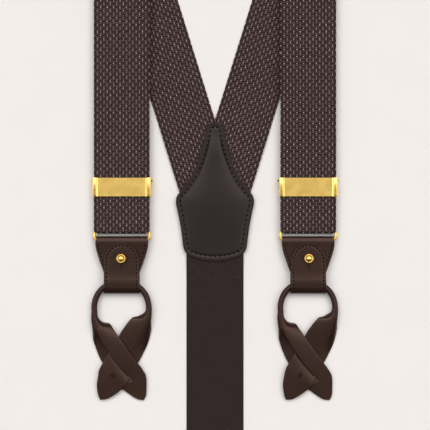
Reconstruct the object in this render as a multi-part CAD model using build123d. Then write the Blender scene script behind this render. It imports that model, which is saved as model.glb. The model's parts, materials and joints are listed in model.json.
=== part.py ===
"""Dress braces with a leather Y back, laid flat: +Y towards the shoulders, +Z up from the table.

The origin is the middle of the laid-out braces, on the table. Lengths are in millimetres.
The two front straps start at the leather back patch, turn over at the shoulder folds and come
back down on top of their own lower runs. Each passes an adjuster, goes round a metal ring and
ends on the adjuster's bar. A leather end hangs from each of the three rings: a yoke folded over
the ring, a buttoned flap round a rolled loop, and the loop's two flat ears with buttonholes.
"""
from build123d import *
from math import cos, radians, sin
import os

os.makedirs("parts", exist_ok=True)

# Overall lay-out
HALF_LENGTH = 356.0  # from the middle to either end
FOLD_TO_JUNCTION = 311.6  # shoulder fold to the point where the straps' inner edges meet
STRAP_X = 59.2  # centre line of a front strap
ARM_LEAN = 17.3  # degrees that a strap leans as it leaves the patch
ARM_STRAIGHT_TOP = 76.6  # how far above the junction an arm stays straight
JUNCTION_Y = HALF_LENGTH - FOLD_TO_JUNCTION
HUGE = 100.0  # larger than any piece's width, for cuts

# Webbing
STRAP_WIDTH = 35.4
ELASTIC_WIDTH = 36.4
WEB = 0.9  # thickness of strap and elastic
UPPER_WEB = 4.55  # underside of the layer that runs over the ring's bar
RETURN_WEB = 1.35  # underside of the layer that comes back under the bar
LOOP_WIDTH = 31.2  # the webbing gathers to this where it goes round a ring
STRAP_SPLIT = JUNCTION_Y - 43.0  # where the fixed run meets the running loop, under the cover
MITRE_GAP = 0.05
ARM_SLOPE = 12.0  # length over which an arm comes down from the lining to the table
GATHER_FROM = 3.6  # above a ring's bar, where the webbing starts to gather
GATHER_TO = 0.4

# Shoulder fold
FOLD_RADIUS = 6.5
FOLD_DROP = 20.0  # degrees that the upper layer slopes as it comes off the fold
FOLD_LEVEL_RADIUS = 30.0
FOLD_Y = HALF_LENGTH - FOLD_RADIUS - WEB / 2

# Back patch, a leather kite over the junction
PATCH_TIP = JUNCTION_Y - 1.6
PATCH_LENGTH = 88.2
PATCH_NECK = (5.2, -3.6)  # right-hand outline below the tip: neck, waist, shoulder, hip, foot
PATCH_WAIST = [(8.4, -16.3), (13.8, -31.6), (20.6, -42.2)]
PATCH_SHOULDER = [(24.0, -46.6), (24.9, -51.0), (23.9, -56.5)]
PATCH_HIP = [(22.1, -65.5), (20.9, -74.0), (20.3, -79.0)]
PATCH_FOOT = [(18.9, -82.6), (15.6, -85.3)]
LINING = 0.9
PATCH = 1.5
PATCH_SEAM_INSET = 2.9
LINING_INSET = 0.3
WEB_END = JUNCTION_Y - 58.5  # the straps end here, under the patch

# Metal ring: a long rectangle of wire with rounded corners
WIRE_R = 0.9
RING_WIDTH = 35.2  # between the wire's centre lines
RING_DROP = 5.75  # upper bar to lower bar
RING_CORNER = 1.9
BAR_Z = 3.4
FRONT_RING_Y = JUNCTION_Y - 70.6

# Adjuster
PLATE_TOP = JUNCTION_Y - 37.0
PLATE_BOTTOM = JUNCTION_Y - 49.0
PLATE_HALF = 18.5
PANEL_HALF = 15.9
COVER_Z = 5.6
COVER_SHEET = 0.6
PANEL_RISE = 0.7
BAR_R = 0.5
BAR_PLAY = 0.02
ADJUSTER_BAR_Y = JUNCTION_Y - 46.6
ADJUSTER_BAR_Z = 2.8
PIN_R = 0.6
PIN_PLAY = 0.05
LEVER_Y = JUNCTION_Y - 39.0
LEVER_Z = 3.6
LEVER_HALF = 17.6
LEVER_TAIL = 5.6
LEVER_NOSE = 0.8
LEVER_HALF_THICK = 0.6
TOOTH_ROWS = (1.2, 2.2, 3.2)
PIN_REACH = 19.7
RETURN_TAIL = 5.0  # of webbing beyond the adjuster's bar

# Leather end, measured from its ring's upper bar
LEATHER = 1.2
YOKE_PLAY = 0.05
YOKE_END = -26.0
YOKE_BACK_END = -23.4
YOKE_SIDE = [(16.85, -5.0), (14.95, -14.0), (11.3, YOKE_END)]
YOKE_SHOULDER = RING_DROP + 2.6  # the fold inside the ring is narrower down to here
YOKE_SEAM_INSET = 1.6
YOKE_SEAM_FROM = -9.0
YOKE_SEAM_TO = -20.5
YOKE_TOP = BAR_Z + WIRE_R + YOKE_PLAY + LEATHER
FLAP_HALF = 11.15
FLAP_OVAL_Y = -20.1
FLAP_OVAL_HEIGHT = 12.5
FLAP_BOTTOM = -40.1
FLAP_LEATHER = 1.1
FLAP_LINING = 0.5
FLAP_Z = 6.15  # underside of the flap's outer leather
FLAP_LINING_END = -28.0
FLAP_SEAM_INSET = 1.7
FOLD_OUTER = (FLAP_Z + FLAP_LEATHER - 0.05) / 2  # outer radius of the flap's lower fold
FLAP_FOLD_Y = FLAP_BOTTOM + FOLD_OUTER
TAIL_LOW_END = -30.4
TAIL_RAMP = 6.0
TAIL_Z = 3.4
TAIL_TOP = -10.5
STUD_Y = -17.5
BALL_R = 3.05
BALL_Z = 9.5
POST_R = 1.25
STUD_FOOT_Z = 2.5
COLLAR = 0.4  # the stud's foot on the leather
COLLAR_R = 2.2
SCREW_R = 0.9
SCREW_TOP = 4.6
SCREW_HEAD = 0.8
SCREW_HEAD_R = 2.4
FLAP_HOLE_R = 3.5
SLIT = 0.3
SLIT_LENGTH = 4.0
SEAM = 0.6  # width of a row of stitching
SEAM_RISE = 0.05
SEAM_SINK = 0.1

# Rolled loop and its ears, measured from the loop's centre
LOOP_Y = -50.1
LOOP_R = 17.2
CORD_R = 1.9
CORD_Z = 3.65
CORD_PLAY = 0.3
LOOP_SPAN = 224.0  # degrees of rolled leather
CORE_R = 1.0
CORE_SPAN = 190.0
EAR = 1.6
LOWER_EAR_Z = 1.5
UPPER_EAR_Z = 3.4
HOLE_R = 1.7
HOLE_AT = (-5.0, -42.2)
HOLE_SLIT_TO = (-1.5, -36.4)
EAR_TIP = -58.216  # the lowest point of an ear
BACK_RING_Y = -HALF_LENGTH - LOOP_Y - EAR_TIP

# Back elastic
BACK_SPLIT = BACK_RING_Y + 22.0
BACK_RAMP = 32.0
SEWN_END = 20.0  # the elastic's end lies this far above the back ring
SEWN_FROM = 11.0
SEWN_ROWS = (13.0, 17.0)


def slab(face, bottom, top):
    """A flat sheet with a face's outline, between two heights."""
    return Pos(0, 0, bottom) * extrude(face, top - bottom)


def band(path, width, thick=WEB):
    """A strip of even thickness that follows a path drawn in (y, z), centred on x = 0."""
    return extrude(Plane.YZ * trace(path, thick), width / 2, both=True)


def box(x0, x1, y0, y1, z0, z1):
    return Pos((x0 + x1) / 2, (y0 + y1) / 2, (z0 + z1) / 2) * Box(x1 - x0, y1 - y0, z1 - z0)


def rod(x0, x1, y, z, r):
    """A round bar along X."""
    return Pos((x0 + x1) / 2, y, z) * Rot(0, 90, 0) * Cylinder(r, x1 - x0)


def post(x, y, z0, z1, r):
    """A round post along Z."""
    return Pos(x, y, (z0 + z1) / 2) * Cylinder(r, z1 - z0)


def turn(path, radius, angle):
    """Carry a path on along an arc that starts in the direction in which the path ends."""
    return path + JernArc(path @ 1, path % 1, radius, angle)


def run(path, length):
    """Carry a path straight on."""
    return path + Line(path @ 1, path @ 1 + (path % 1) * length)


# --- back patch -------------------------------------------------------------------------------


def patch_face(inset=0.0):
    """The kite's outline, or one that lies inside it by an inset."""
    shorter = 1 - 2 * inset / PATCH_LENGTH
    points = [PATCH_NECK, *PATCH_WAIST, *PATCH_SHOULDER, *PATCH_HIP, *PATCH_FOOT]
    side = Spline(*[(x - inset, y * shorter - inset) for x, y in points])
    other = mirror(side, Plane.YZ)
    tip = ThreePointArc(other @ 0, (0, -inset), side @ 0)
    base = ThreePointArc(side @ 1, (0, inset - PATCH_LENGTH), other @ 1)
    return Pos(0, PATCH_TIP) * make_face([tip, side, base, other])


def back_patch():
    bottom = LINING + WEB
    return slab(patch_face(), bottom, bottom + PATCH)


def back_patch_lining():
    return slab(patch_face(LINING_INSET), 0, LINING)


def back_patch_stitching():
    top = LINING + WEB + PATCH
    seam = patch_face(PATCH_SEAM_INSET - SEAM / 2) - patch_face(PATCH_SEAM_INSET + SEAM / 2)
    return slab(seam, top - SEAM_SINK, top + SEAM_RISE)


# --- straps -----------------------------------------------------------------------------------


def arm_end():
    """The arm's end between patch and lining, and the short slope down to the table."""
    lean = Pos(0, JUNCTION_Y) * Rot(0, 0, ARM_LEAN)
    under = lean * box(-STRAP_WIDTH, 0, -HUGE, 0, LINING, LINING + WEB)
    under &= box(-HUGE, -MITRE_GAP, WEB_END, HUGE, 0, HUGE)
    slope = [(0, LINING), (0, LINING + WEB), (ARM_SLOPE, WEB), (ARM_SLOPE, 0)]
    side = Plane.YZ * make_face(Polyline(*slope, close=True))
    return under + lean * extrude(side, -STRAP_WIDTH)


def arm_on_table():
    """The arm from the end of its slope, straight, then curving in line with the front strap."""
    c, s = cos(radians(ARM_LEAN)), sin(radians(ARM_LEAN))

    def leaning(across, along):
        return (across * c - along * s, JUNCTION_Y + across * s + along * c)

    middle = -STRAP_WIDTH / 2
    straight = (ARM_STRAIGHT_TOP - middle * s) / c
    bend = (STRAP_X + leaning(middle, straight)[0]) / (1 - c)
    sides = []
    for across, to_right in ((0.0, 1), (-STRAP_WIDTH, -1)):
        low, knee = leaning(across, ARM_SLOPE), leaning(across, straight)
        arc = JernArc(knee, (-s, c), bend - to_right * STRAP_WIDTH / 2, -ARM_LEAN)
        top = ((arc @ 1).X, FOLD_Y)
        sides.append((low, top, [Line(low, knee), arc, Line(arc @ 1, top)]))
    (low_in, top_in, inner), (low_out, top_out, outer) = sides
    ends = [Line(top_in, top_out), Line(low_out, low_in)]
    return slab(make_face(inner + outer + ends), 0, WEB)


def shoulder_fold():
    """The springy turn from the lower run to the upper one, down to the running loop."""
    turned = radians(FOLD_DROP)
    fall = 2 * FOLD_RADIUS + WEB / 2 - (UPPER_WEB + WEB / 2)
    ramp = (fall - (FOLD_RADIUS + FOLD_LEVEL_RADIUS) * (1 - cos(turned))) / sin(turned)
    path = JernArc((FOLD_Y, WEB / 2), (1, 0), FOLD_RADIUS, 180 + FOLD_DROP)
    path = run(path, ramp)
    path = turn(path, FOLD_LEVEL_RADIUS, -FOLD_DROP)
    path = run(path, (path @ 1).X - STRAP_SPLIT)
    return Pos(-STRAP_X, 0) * band(path, STRAP_WIDTH)


def left_strap():
    return arm_end() + arm_on_table() + shoulder_fold()


def ring_width_cut(width, top, bar_y):
    """Outline of webbing that gathers to the ring's inside width at a bar."""
    half, narrow = width / 2, LOOP_WIDTH / 2
    from_y, to_y = bar_y + GATHER_FROM, bar_y + GATHER_TO
    right = [(half, top), (half, from_y), (narrow, to_y), (narrow, to_y - RING_DROP)]
    left = [(-x, y) for x, y in reversed(right)]
    return slab(make_face(Polyline(*right, *left, close=True)), -HUGE, HUGE)


def bar_turn(start, bar_y):
    """The path of the upper layer from a start, round a ring's bar, to the layer beneath it."""
    upper, lower = UPPER_WEB + WEB / 2, RETURN_WEB + WEB / 2
    path = Line((start, upper), (bar_y, upper))
    return turn(path, (upper - lower) / 2, 180)


def strap_loop():
    """The running loop, in the frame of a strap on x = 0: down, round the ring and the bar."""
    wrap = BAR_R + 0.05 + WEB / 2
    path = bar_turn(STRAP_SPLIT - 0.1, FRONT_RING_Y)
    path = run(path, ADJUSTER_BAR_Y - FRONT_RING_Y)
    path = turn(path, wrap, 180)
    path = run(path, RETURN_TAIL)
    return band(path, STRAP_WIDTH) & ring_width_cut(STRAP_WIDTH, STRAP_SPLIT, FRONT_RING_Y)


# --- adjuster, in the frame of a strap on x = 0 -----------------------------------------------


def adjuster_cover():
    top = COVER_Z + COVER_SHEET
    plate = box(-PLATE_HALF, PLATE_HALF, PLATE_BOTTOM, PLATE_TOP, COVER_Z, top)
    panel = box(-PANEL_HALF, PANEL_HALF, PLATE_BOTTOM, PLATE_TOP, top, top + PANEL_RISE)
    long_edges = panel.edges().filter_by(Axis.Y).group_by(Axis.Z)[-1]
    cover = plate + fillet(long_edges, PANEL_RISE * 0.9)
    for side in (-1, 1):
        inner, outer = side * (PLATE_HALF - COVER_SHEET), side * PLATE_HALF
        low, high = min(inner, outer), max(inner, outer)
        cover += box(low, high, PLATE_BOTTOM, PLATE_TOP, RETURN_WEB, COVER_Z)
    cover -= rod(-HUGE, HUGE, ADJUSTER_BAR_Y, ADJUSTER_BAR_Z, BAR_R + BAR_PLAY)
    return cover - rod(-HUGE, HUGE, LEVER_Y, LEVER_Z, PIN_R + PIN_PLAY)


def adjuster_bar():
    return rod(-PLATE_HALF, PLATE_HALF, ADJUSTER_BAR_Y, ADJUSTER_BAR_Z, BAR_R)


def adjuster_lever():
    """The toothed clamp behind the cover, on pins whose tips show at the cover's sides."""
    half, thick = LEVER_HALF, LEVER_HALF_THICK
    lever = box(-half, half, -LEVER_TAIL, 0, -thick, thick) + rod(-half, half, 0, 0, LEVER_NOSE)
    for row in TOOTH_ROWS:
        tooth = [(-row - 0.5, thick), (-row, thick + 0.25), (-row + 0.5, thick)]
        profile = Plane.YZ * make_face(Polyline(*tooth, close=True))
        lever += extrude(profile, half - 1, both=True)
    pin_half = PLATE_HALF + 0.1
    tip = PIN_REACH - pin_half
    lever += rod(-pin_half, pin_half, 0, 0, PIN_R)
    for side in (-1, 1):
        place = Pos(side * (PIN_REACH - tip / 2)) * Rot(0, 90 * side, 0)
        lever += place * Cone(1.5, 0.35, tip)
    return Pos(0, LEVER_Y, LEVER_Z) * lever


# --- ring, in the frame of its upper bar -------------------------------------------------------


def ring():
    outline = RectangleRounded(RING_WIDTH, RING_DROP, RING_CORNER)
    wire = Pos(0, -RING_DROP / 2, BAR_Z) * outline.wire()
    section = Plane(origin=(0, 0, BAR_Z), x_dir=(0, 1, 0), z_dir=(1, 0, 0)) * Circle(WIRE_R)
    return sweep(section, path=wire)


# --- leather end, in the frame of its ring's upper bar ------------------------------------------


def yoke_face(inset=0.0):
    side = ThreePointArc(*[(x - inset, y) for x, y in YOKE_SIDE])
    other = mirror(side, Plane.YZ)
    return make_face([side, Line(side @ 1, other @ 1), other, Line(other @ 0, side @ 0)])


def yoke():
    """Two leaves of one piece of leather, folded over the ring's lower bar."""
    reach = WIRE_R + YOKE_PLAY + LEATHER / 2
    path = Line((YOKE_END, BAR_Z + reach), (-RING_DROP, BAR_Z + reach))
    path = turn(path, reach, -180)
    path = run(path, -YOKE_BACK_END - RING_DROP)
    fold_half = LOOP_WIDTH / 2 - 0.1
    fold = box(-fold_half, fold_half, -YOKE_SHOULDER, 0, -HUGE, HUGE)
    body = slab(yoke_face(), -HUGE, HUGE) & box(-HUGE, HUGE, -HUGE, -YOKE_SHOULDER, -HUGE, HUGE)
    leather = band(path, RING_WIDTH, LEATHER) & (fold + body)
    return leather - stud_hole()


def stud_hole():
    return post(0, STUD_Y, 0, BALL_Z, POST_R + YOKE_PLAY)


def yoke_stitching():
    """A row down each slanted edge, clear of the flap."""
    inset = YOKE_SEAM_INSET
    rows = yoke_face(inset - SEAM / 2) - yoke_face(inset + SEAM / 2)
    keep = box(-HUGE, HUGE, YOKE_SEAM_TO, YOKE_SEAM_FROM, 0, HUGE)
    return slab(rows, YOKE_TOP - SEAM_SINK, YOKE_TOP + SEAM_RISE) & keep


def stud():
    """A ball on a neck and a post, riveted through the yoke by its screw."""
    foot = YOKE_TOP + 0.02
    piece = post(0, STUD_Y, STUD_FOOT_Z, BALL_Z, POST_R)
    piece += post(0, STUD_Y, foot, foot + COLLAR, COLLAR_R)
    piece += Pos(0, STUD_Y, BALL_Z) * Sphere(BALL_R)
    return piece - post(0, STUD_Y, STUD_FOOT_Z, SCREW_TOP + 0.4, SCREW_R + 0.05)


def stud_screw():
    head_top = BAR_Z - WIRE_R - YOKE_PLAY - LEATHER - 0.05
    head = post(0, STUD_Y, head_top - SCREW_HEAD, head_top, SCREW_HEAD_R)
    return head + post(0, STUD_Y, head_top, SCREW_TOP, SCREW_R)


def flap_face(inset=0.0, low=FLAP_FOLD_Y):
    """An oval top on straight sides."""
    half, height = FLAP_HALF - inset, FLAP_OVAL_HEIGHT - inset
    oval = Pos(0, FLAP_OVAL_Y) * Ellipse(half, height)
    sides = Pos(0, (low + FLAP_OVAL_Y) / 2) * Rectangle(2 * half, FLAP_OVAL_Y - low)
    upper = Pos(0, FLAP_OVAL_Y + HUGE / 2) * Rectangle(HUGE, HUGE)
    return sides + (oval & upper)


def flap():
    """The outer leather, with the stud's hole and the slit that lets the ball through."""
    hole = Pos(0, STUD_Y) * Circle(FLAP_HOLE_R)
    slit = Pos(0, STUD_Y - FLAP_HOLE_R - SLIT_LENGTH / 2 + SLIT) * Rectangle(SLIT, SLIT_LENGTH)
    return slab(flap_face() - hole - slit, FLAP_Z, FLAP_Z + FLAP_LEATHER)


def flap_lining():
    face = flap_face(0.4, FLAP_LINING_END) - Pos(0, STUD_Y) * Circle(FLAP_HOLE_R)
    return slab(face, FLAP_Z - FLAP_LINING, FLAP_Z)


def flap_stitching():
    top, low = FLAP_Z + FLAP_LEATHER, FLAP_FOLD_Y + 1
    outer, inner = FLAP_SEAM_INSET - SEAM / 2, FLAP_SEAM_INSET + SEAM / 2
    row = flap_face(outer, low) - flap_face(inner, low - 1)
    return slab(row, top - SEAM_SINK, top + SEAM_RISE)


def rolled_loop(radius, span):
    """An arc of round leather about the loop's centre, open at the bottom."""
    start = 90 - span / 2
    section = Plane.XZ * Pos(LOOP_R, 0) * Circle(radius)
    arc = revolve(section, Axis.Z, revolution_arc=span)
    return Pos(0, LOOP_Y, CORD_Z) * Rot(0, 0, start) * arc


def flap_tail():
    """The flap's leather below the hinge line: round under the loop and up into the yoke."""
    thick = FLAP_LEATHER
    low_z = 0.05 + thick / 2
    start = (FLAP_FOLD_Y - 0.1, FLAP_Z + thick / 2)
    path = JernArc(start, (-1, 0), FOLD_OUTER - thick / 2, 180)
    for corner in ((TAIL_LOW_END, low_z), (TAIL_LOW_END + TAIL_RAMP, TAIL_Z), (TAIL_TOP, TAIL_Z)):
        path += Line(path @ 1, corner)
    tail = band(path, 2 * FLAP_HALF, thick)
    return tail - rolled_loop(CORD_R + CORD_PLAY, 360) - stud_hole()


def ear_face():
    """The ear that runs from the loop's right branch to the lower left, with its buttonhole."""
    down, inward = (0.15, -1), (-0.42, -0.91)
    outer = Spline((18.6, -4.5), (19.4, -10.9), (18.8, -16.0), tangents=(down, inward))
    edge = Line(outer @ 1, (6.1, -43.4))
    sole = Spline(edge @ 1, (-0.3, -51.4), (-11.8, -57.9), tangents=(inward, (-1, -0.3)))
    toe = ThreePointArc(sole @ 1, (-13.6, -58.1), (-15.0, -56.2))
    cheek = Spline(toe @ 1, (-15.8, -49.2), (-12.6, -34.2), (-8.2, -26.3))
    throat = Line(cheek @ 1, (-1.8, -16.3))
    crotch = Spline(throat @ 1, (5.4, -7.4), (15.2, -2.9), tangents=((0.54, 0.84), (1, 0.1)))
    face = make_face([outer, edge, sole, toe, cheek, throat, crotch, Line(crotch @ 1, outer @ 0)])
    face -= Pos(*HOLE_AT) * Circle(HOLE_R)
    slit = trace(Line(HOLE_AT, HOLE_SLIT_TO), SLIT)
    return face - slit


def ears():
    """One strip of leather: rolled round a cord as the loop, flat at both ends as the ears."""
    lower = slab(Pos(0, LOOP_Y) * ear_face(), LOWER_EAR_Z, LOWER_EAR_Z + EAR)
    upper = slab(Pos(0, LOOP_Y) * mirror(ear_face(), Plane.YZ), UPPER_EAR_Z, UPPER_EAR_Z + EAR)
    rolled = rolled_loop(CORD_R, LOOP_SPAN) - rolled_loop(CORE_R + 0.03, CORE_SPAN + 1)
    return rolled + lower + upper


def ears_core():
    return rolled_loop(CORE_R, CORE_SPAN)


LEATHER_END = {
    "ring": ring,
    "yoke": yoke,
    "yoke_stitching": yoke_stitching,
    "stud": stud,
    "stud_screw": stud_screw,
    "flap": flap,
    "flap_lining": flap_lining,
    "flap_stitching": flap_stitching,
    "flap_tail": flap_tail,
    "ears": ears,
    "ears_core": ears_core,
}
ADJUSTER = {
    "strap_loop": strap_loop,
    "adjuster_cover": adjuster_cover,
    "adjuster_bar": adjuster_bar,
    "adjuster_lever": adjuster_lever,
}


# --- back elastic -----------------------------------------------------------------------------


def back_elastic():
    """From under the patch down to the table, along it, and up to the back ring's level."""
    table, sewn = WEB / 2, LINING + WEB / 2
    upper = UPPER_WEB + WEB / 2
    patch_end = PATCH_TIP - PATCH_LENGTH
    path = Polyline(
        (WEB_END - 0.5, sewn),
        (patch_end - 1, sewn),
        (patch_end - 9, table),
        (BACK_SPLIT + BACK_RAMP, table),
        (BACK_SPLIT + 4, upper),
        (BACK_SPLIT + 0.1, upper),
    )
    return band(path, ELASTIC_WIDTH)


def back_elastic_loop():
    """The elastic's end, folded round the back ring and sewn to itself."""
    sewn = UPPER_WEB - 0.05 - WEB / 2
    path = bar_turn(BACK_SPLIT, BACK_RING_Y)
    path = run(path, 3.0)
    for corner in ((BACK_RING_Y + SEWN_FROM, sewn), (BACK_RING_Y + SEWN_END, sewn)):
        path += Line(path @ 1, corner)
    return band(path, ELASTIC_WIDTH) & ring_width_cut(ELASTIC_WIDTH, BACK_SPLIT, BACK_RING_Y)


def back_loop_stitching():
    top, half = UPPER_WEB + WEB, ELASTIC_WIDTH / 2 - 2
    rows = Part()
    for row in SEWN_ROWS:
        y = BACK_RING_Y + row
        rows += box(-half, half, y - SEAM / 2, y + SEAM / 2, top - SEAM_SINK, top + SEAM_RISE)
    return rows


# --- the whole assembly -----------------------------------------------------------------------


def write(name, shape):
    """One STEP file per node, holding plain solids."""
    solids = shape.solids()
    whole = solids[0] if len(solids) == 1 else Compound(children=solids)
    export_step(whole, f"parts/{name}.step")


def main():
    strap = left_strap()
    write("back_patch", back_patch())
    write("back_patch_lining", back_patch_lining())
    write("back_patch_stitching", back_patch_stitching())
    write("back_elastic", back_elastic())
    write("left_strap", strap)
    write("right_strap", mirror(strap, Plane.YZ))
    write("back_elastic_loop", back_elastic_loop())
    write("back_loop_stitching", back_loop_stitching())
    for name, make in ADJUSTER.items():
        piece = make()
        write(f"left_{name}", Pos(-STRAP_X, 0) * piece)
        write(f"right_{name}", Pos(STRAP_X, 0) * piece)
    for name, make in LEATHER_END.items():
        piece = make()
        write(f"left_{name}", Pos(-STRAP_X, FRONT_RING_Y) * piece)
        write(f"right_{name}", Pos(STRAP_X, FRONT_RING_Y) * piece)
        write(f"back_{name}", Pos(0, BACK_RING_Y) * piece)


main()
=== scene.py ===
"""Dress braces laid flat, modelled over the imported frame.

Shapes are worked out in millimetres and become metres as each mesh is made. +Y is towards the
shoulders and +Z is up. Webbing, elastic, leather, stitching, studs and adjuster covers replace
their plain solids; rings, levers, bars, screws, linings and cores keep theirs.
"""
import bpy
import bmesh
import json
from math import cos, exp, pi, radians, sin
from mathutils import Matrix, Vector
from mathutils.kdtree import KDTree


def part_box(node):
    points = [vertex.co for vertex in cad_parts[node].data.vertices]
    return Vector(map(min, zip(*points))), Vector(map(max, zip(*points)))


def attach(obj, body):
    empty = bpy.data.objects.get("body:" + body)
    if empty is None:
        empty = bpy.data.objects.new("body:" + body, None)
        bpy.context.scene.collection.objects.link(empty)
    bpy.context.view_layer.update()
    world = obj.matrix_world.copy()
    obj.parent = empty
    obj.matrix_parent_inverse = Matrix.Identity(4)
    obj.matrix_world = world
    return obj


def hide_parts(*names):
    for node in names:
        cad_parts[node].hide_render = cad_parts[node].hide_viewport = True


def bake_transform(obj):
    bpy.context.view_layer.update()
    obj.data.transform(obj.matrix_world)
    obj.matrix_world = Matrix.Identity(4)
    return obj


MM = 0.001
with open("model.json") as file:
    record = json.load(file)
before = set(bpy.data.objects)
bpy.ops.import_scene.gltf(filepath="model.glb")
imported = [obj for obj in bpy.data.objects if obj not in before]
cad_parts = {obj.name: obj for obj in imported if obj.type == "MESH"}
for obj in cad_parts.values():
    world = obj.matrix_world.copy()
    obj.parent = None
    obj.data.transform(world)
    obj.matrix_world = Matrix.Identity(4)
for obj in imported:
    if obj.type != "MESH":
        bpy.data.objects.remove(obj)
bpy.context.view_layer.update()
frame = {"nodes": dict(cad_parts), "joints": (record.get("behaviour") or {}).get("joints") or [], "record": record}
JOINTS = {joint["name"]: joint for joint in frame["joints"]}
X_AXIS, Z_AXIS = Vector((1, 0, 0)), Vector((0, 0, 1))


def low(node):
    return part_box(node)[0] / MM


def high(node):
    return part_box(node)[1] / MM


def hinge(name):
    """A joint's place in millimetres."""
    return Vector(JOINTS[name]["pos_m"]) / MM


# Sizes read from the frame
RING = {end: hinge(f"{end}_ring_hinge") for end in ("left", "right", "back")}
STRAP_HALF = (high("left_strap_loop") - low("left_strap_loop")).x / 2
ELASTIC_HALF = high("back_elastic").x
FOLD_TOP = high("left_strap").z
SHOULDER_Y = high("left_strap").y
PATCH_TIP = high("back_patch").y
PATCH_END = low("back_patch").y
PATCH_BASE = low("back_patch").z
LINING_TOP = high("back_patch_lining").z
BAR_Z = RING["left"].z
YOKE_TOP = high("left_yoke").z
FLAP_TOP = high("left_flap").z
FLAP_APEX = high("left_flap").y - RING["left"].y
FLAP_HALF = (high("left_flap") - low("left_flap")).x / 2
FLAP_FOLD_Y = hinge("left_flap_hinge").y - RING["left"].y
FLAP_END = low("left_flap_tail").y - RING["left"].y
LOOP_Y = hinge("left_ears_hinge").y - RING["left"].y
STUD_Y = (low("left_stud").y + high("left_stud").y) / 2 - RING["left"].y
STUD_TOP = high("left_stud").z

# Sizes of the materials and of the lay-out that the boxes don't give
WEB = 0.9
JUNCTION_Y = PATCH_TIP + 1.6
ARM_LEAN = radians(17.3)
ARM_STRAIGHT_TOP = 76.6
ARM_SLOPE = 12.0
FOLD_DROP = radians(20)
FOLD_RADIUS = (FOLD_TOP - WEB) / 2
FOLD_LEVEL_RADIUS = 30.0
UPPER_Z = 5.0  # middle of the webbing where it runs over the ring
RETURN_Z = 1.8  # and where it comes back under
GATHERED_HALF = 15.6
ADJUSTER_BAR = Vector((0, low("left_adjuster_bar").y + 0.5, low("left_adjuster_bar").z + 0.5))
RING_DROP = 5.75
WIRE_R = 0.9
FLAP_LEATHER = 1.1
EAR_LEATHER = 1.35
LOOP_R = 17.2
SEAM_INSET = 1.7
PATCH_SEAM_INSET = 2.9
BACK_SEAM_ROWS = (13.0, 17.0)  # above the back ring
BACK_SEWN_END = 20.0
COVER_SHEET = 0.6
COVER_MARGIN = 2.6  # flat metal beside the raised panel
PANEL_RISE = 0.7
DOT_COLUMN_PITCH = 2.05
DOT_ROW_PITCH = 4.46
ROLL_CREST_Z = 5.45


# --- mesh helpers -----------------------------------------------------------------------------


def mesh_piece(name, vertices, faces, uvs=None, sharp=40):
    """A smooth-shaded object from points in millimetres; uvs has one pair for each vertex."""
    mesh = bpy.data.meshes.new(name)
    mesh.from_pydata([Vector(v) * MM for v in vertices], [], faces)
    if uvs:
        layer = mesh.uv_layers.new(name="UVMap")
        for loop in mesh.loops:
            layer.data[loop.index].uv = uvs[loop.vertex_index]
    work = bmesh.new()
    work.from_mesh(mesh)
    bmesh.ops.recalc_face_normals(work, faces=work.faces)
    work.to_mesh(mesh)
    work.free()
    finish_shading(mesh, sharp)
    obj = bpy.data.objects.new(name, mesh)
    bpy.context.scene.collection.objects.link(obj)
    return obj


def finish_shading(mesh, sharp):
    mesh.polygons.foreach_set("use_smooth", [True] * len(mesh.polygons))
    mesh.set_sharp_from_angle(angle=radians(sharp))


def apply_modifiers(obj):
    """Replace an object's mesh by its mesh with all modifiers worked in."""
    bpy.context.view_layer.update()
    shaped = obj.evaluated_get(bpy.context.evaluated_depsgraph_get())
    mesh = bpy.data.meshes.new_from_object(shaped)
    obj.modifiers.clear()
    obj.data = mesh
    return obj


def spline(points, steps):
    """Points along a smooth curve through the given rows of numbers, steps to each span."""
    rows = [tuple(p) for p in points]
    ends = [tuple(2 * a - b for a, b in zip(rows[0], rows[1]))]
    ends.append(tuple(2 * a - b for a, b in zip(rows[-1], rows[-2])))
    rows = [ends[0]] + rows + [ends[1]]
    out = []
    for i in range(1, len(rows) - 2):
        for k in range(steps):
            out.append(blend_four(rows[i - 1:i + 3], k / steps))
    out.append(rows[-2])
    return out


def blend_four(rows, t):
    """Catmull-Rom between the middle two of four rows."""
    weights = (
        -0.5 * t + t * t - 0.5 * t**3,
        1 - 2.5 * t * t + 1.5 * t**3,
        0.5 * t + 2 * t * t - 1.5 * t**3,
        -0.5 * t * t + 0.5 * t**3,
    )
    return tuple(sum(w * v for w, v in zip(weights, column)) for column in zip(*rows))


def ease(value, start, end):
    """0 before start, 1 after end, smooth between."""
    t = min(1, max(0, (value - start) / (end - start)))
    return t * t * (3 - 2 * t)


def section(half, thick, corner, columns):
    """A strip's cross-section, from the upper left round by the right."""
    height, flat = thick / 2, max(half - corner, 0.01)
    upper = [(flat * (2 * k / columns - 1), height) for k in range(columns + 1)]
    right = []
    for degrees in (30, 60, 90):
        turned = radians(degrees)
        right.append((flat + corner * sin(turned), height - corner + corner * cos(turned)))
    for degrees in (90, 120, 150):
        turned = radians(degrees)
        right.append((flat + corner * sin(turned), corner - height + corner * cos(turned)))
    if height - corner < 0.01:
        right.pop(3)
    lower = [(x, -z) for x, z in reversed(upper)]
    left = [(-x, z) for x, z in reversed(right)]
    return upper + right + lower + left


def ribbon(name, stations, thick, corner=None, columns=8):
    """A strip through stations of (centre, across, normal, half width, distance along)."""
    corner = thick / 2 if corner is None else corner
    vertices, uvs = [], []
    for centre, across, normal, half, along in stations:
        for x, z in section(half, thick, corner, columns):
            vertices.append(centre + across * x + normal * z)
            uvs.append((x * MM, along * MM))
    return mesh_piece(name, vertices, closed_faces(len(vertices), len(stations)), uvs)


def closed_faces(total, sections):
    """Quads between equal sections of a solid strip, and a face over each end."""
    count = total // sections
    faces = []
    for i in range(sections - 1):
        for j in range(count):
            a, b = i * count + j, i * count + (j + 1) % count
            faces.append((a, b, b + count, a + count))
    faces.append(tuple(range(count)))
    faces.append(tuple(range(total - count, total)))
    return faces


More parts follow.
